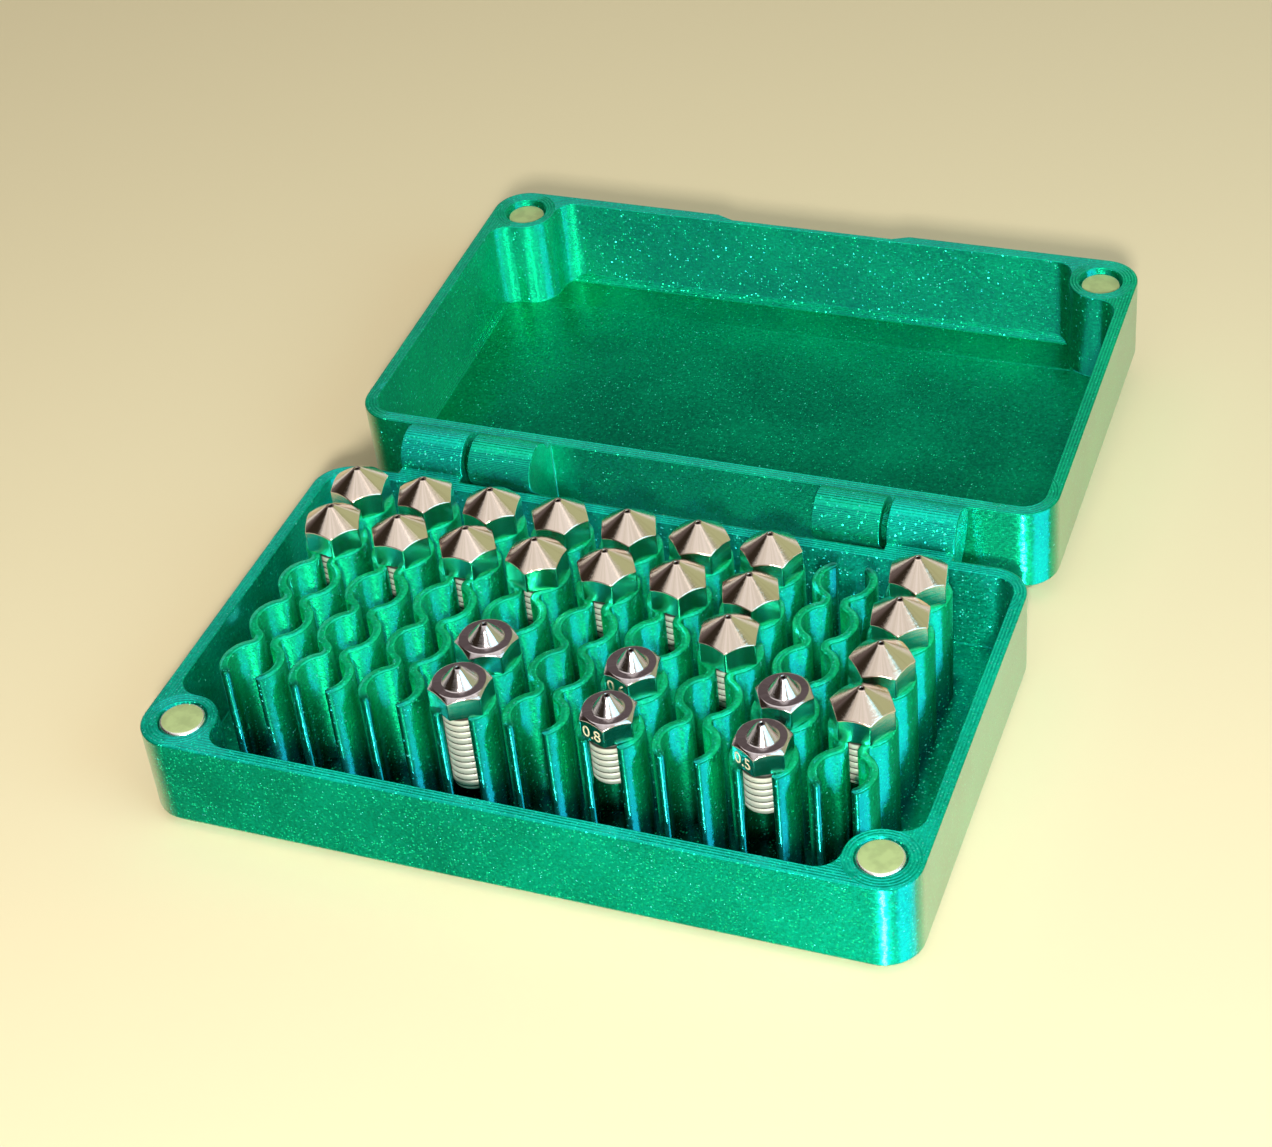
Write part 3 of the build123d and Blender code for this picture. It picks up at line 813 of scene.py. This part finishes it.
for row, letters in enumerate(NOZZLE_PLAN):
    for column, letter in enumerate(letters):
        if letter == ".":
            continue
        grid, finish, slot = KINDS[letter]
        name = f"nozzle_{row + 1}_{column + 1}"
        mesh = grid_mesh(name, grid, True, True)
        flat = grid.reshape(-1, 3)
        reach = np.maximum(np.hypot(flat[:, 0], flat[:, 1]), 1e-9)
        around = np.stack([flat[:, 0] / reach, flat[:, 1] / reach, flat[:, 2] / MM], 1)
        keep(mesh, "around", "FLOAT_VECTOR", around)
        keep(mesh, "cut", "FLOAT", np.clip((THREAD_CREST - reach) / (THREAD_CREST - THREAD_ROOT), 0, 1))
        x = rack_middle.x + (column - 4) * column_pitch
        y = rack_middle.y + (2 - row) * ROW_PITCH
        turn = radians(TURN_STEP * int(TURN_PLAN[row][column]))
        mesh.transform(Matrix.Translation((x, y, seat)) @ Matrix.Rotation(turn, 4, "Z"))
        add_piece(f"turned_{name}", mesh, finish, f"{name}_body", name)

# Three of the steel nozzles show their orifice in plain numbers on a flat, marked pale on the metal. Each
# number stands 0.02 mm proud of the flat that faces that many degrees round from +X.
MARKS = {
    "nozzle_5_6": (-110, "0.8"),
    "nozzle_4_6": (-110, "0.6"),
    "nozzle_5_8": (-120, "0.5"),
}
MARK_SIZE = 2.35 * MM
MARK_PROUD = 0.02 * MM
MARK_REACH = 3.2 * MM
MARK_HEIGHT = 1.32 * MM
MARK_TONE = (0.80, 0.78, 0.52)
MARK_WORN = (0.42, 0.42, 0.26)
MARK_GRAIN = 6000.0
MARK_PATCHES = (0.35, 0.60)
MARK_ROUGHNESS = 0.45
MARK_MOTTLE = 0.2


def pale_marking():
    """A pale marking, worn in places."""
    finish, nodes, shader = new_finish("pale_marking", {})
    grain = nodes.noise(nodes.make("ShaderNodeTexCoord", output=3), MARK_GRAIN, 2.0)
    nodes.feed(shader.inputs["Base Color"], grain.step(*MARK_PATCHES).mix(MARK_WORN, MARK_TONE))
    nodes.feed(shader.inputs["Roughness"], MARK_ROUGHNESS + grain * MARK_MOTTLE)
    return finish


marking = pale_marking()
for node, (side, digits) in MARKS.items():
    text = bpy.data.curves.new(node, "FONT")
    text.body = digits
    text.size = MARK_SIZE
    text.extrude = MARK_PROUD
    text.align_x = "CENTER"
    text.align_y = "CENTER"
    lettering = bpy.data.objects.new(node, text)
    mesh = bpy.data.meshes.new_from_object(lettering)
    bpy.data.objects.remove(lettering)
    low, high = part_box(node)
    spot = Vector(((low.x + high.x) / 2, (low.y + high.y) / 2, seat + MARK_HEIGHT))
    turned = Matrix.Rotation(radians(side), 4, "Z")
    spot += turned @ Vector((MARK_REACH, 0, 0))
    stood = Matrix.Rotation(radians(90), 4, "Z") @ Matrix.Rotation(radians(90), 4, "X")
    mesh.transform(Matrix.Translation(spot) @ turned @ stood)
    add_piece(f"mark_{node}", mesh, marking, f"{node}_body")

# The studio: a plain pale floor under the box, and a camera where the photograph was taken from. A small key
# lamp stands low in front on the right. Wide soft lamps stand in front, overhead and behind, and a blue one
# on the right. The world is dim overhead, with a beige wall on the right and a pale band at the horizon.
FLOOR_TONE = (0.73, 0.61, 0.39)
FLOOR_ROUGHNESS = 0.8
FLOOR_GLOSS = 0.2
FLOOR_REACH = 3.0
CAMERA_PLACE = Vector((105.75, -219.34, 223.22)) * MM
CAMERA_AIM = Vector((-0.3166, 0.7092, -0.6299))
CAMERA_RIGHT = Vector((0.9357, 0.3426, -0.0846))
CAMERA_LENS = 72.7
SENSOR_WIDTH = 36

# The world's tones, and where each begins and is full: by the way to the side, or by the rise of the way.
LOW_TONE = (0.035, 0.026, 0.018)
LOW_BACK_TONE = (0.15, 0.12, 0.12)
TO_THE_BACK = (-0.4, 0.92, 0)
BACK_FROM = (0.35, 0.65)
DOME_TONE = (0.34, 0.33, 0.34)
DOME_RISE = (0.72, 0.98)
WALL_TONE = (0.50, 0.54, 0.31)
TO_THE_RIGHT = (0.90, 0.43, 0)
WALL_FROM = (0.15, 0.45)
WALL_RISE_TO = (0.84, 0.72)
HORIZON_TONE = (0.88, 0.86, 0.80)
HORIZON_RISE_TO = (0.20, 0.12)


def lay_floor():
    mesh = bpy.data.meshes.new("floor")
    corners = [(x * FLOOR_REACH, y * FLOOR_REACH, 0) for x, y in ((-1, -1), (1, -1), (1, 1), (-1, 1))]
    mesh.from_pydata(corners, [], [(0, 1, 2, 3)])
    plain = {
        "Base Color": (*FLOOR_TONE, 1),
        "Roughness": FLOOR_ROUGHNESS,
        "Specular IOR Level": FLOOR_GLOSS,
    }
    mesh.materials.append(new_finish("pale_floor", plain)[0])
    floor = bpy.data.objects.new("floor", mesh)
    bpy.context.scene.collection.objects.link(floor)


def add_lamp(name, place, aim, size, power, tone):
    """A rectangular lamp of that size in metres and power in watts, which faces its aim."""
    data = bpy.data.lights.new(name, "AREA")
    data.shape = "RECTANGLE"
    data.size, data.size_y = size
    data.energy = power
    data.color = tone
    lamp = bpy.data.objects.new(name, data)
    lamp.location = place
    lamp.rotation_euler = (Vector(aim) - Vector(place)).to_track_quat("-Z", "Y").to_euler()
    bpy.context.scene.collection.objects.link(lamp)


def paint_world():
    """The world's tone by direction: its height is the rise of the direction, from 0 level to 1 overhead."""
    world = bpy.data.worlds.new("studio")
    bpy.context.scene.world = world
    world.use_nodes = True
    sky = Shade(world.node_tree)
    way = sky.make("ShaderNodeTexCoord", output=0)
    height = sky.axis(way, 2)
    low = sky.dot(way, TO_THE_BACK).step(*BACK_FROM).mix(LOW_TONE, LOW_BACK_TONE)
    dome = height.step(*DOME_RISE).mix(low, DOME_TONE)
    wall = sky.dot(way, TO_THE_RIGHT).step(*WALL_FROM) * height.step(*WALL_RISE_TO)
    glow = height.step(*HORIZON_RISE_TO).mix(wall.mix(dome, WALL_TONE), HORIZON_TONE)
    sky.feed(world.node_tree.nodes["Background"].inputs["Color"], glow)


def stand_camera():
    eye = bpy.data.cameras.new("eye")
    eye.lens = CAMERA_LENS
    eye.sensor_width = SENSOR_WIDTH
    eye.sensor_fit = "HORIZONTAL"
    eye.clip_start = 0.01
    camera = bpy.data.objects.new("eye", eye)
    backward = -CAMERA_AIM.normalized()
    right = (CAMERA_RIGHT - CAMERA_RIGHT.dot(backward) * backward).normalized()
    turn = Matrix((right, backward.cross(right), backward)).transposed().to_4x4()
    camera.matrix_world = Matrix.Translation(CAMERA_PLACE) @ turn
    bpy.context.scene.collection.objects.link(camera)
    bpy.context.scene.camera = camera


LAMPS = (
    ("key", (0.150, -0.38, 0.28), (0, 0.02, 0), (0.040, 0.040), 3.0, (1.0, 0.99, 0.94)),
    ("front", (0.45, -0.80, 0.50), (0, 0.02, 0), (1.30, 0.40), 0.7, (1.0, 0.97, 0.98)),
    ("overhead", (0.10, -0.35, 0.72), (0.10, -0.35, 0), (1.15, 0.80), 1.95, (1.0, 0.96, 0.93)),
    ("back", (0.0, 0.25, 0.95), (0, 0.25, 0), (1.30, 0.50), 1.50, (1.0, 0.95, 0.92)),
    ("side", (0.50, -0.14, 0.36), (0, 0.03, 0), (0.42, 0.30), 1.5, (0.30, 0.72, 1.0)),
)
lay_floor()
for name, place, aim, size, power, tone in LAMPS:
    add_lamp(name, place, aim, size, power, tone)
paint_world()
stand_camera()
bpy.context.scene.view_settings.view_transform = "Standard"
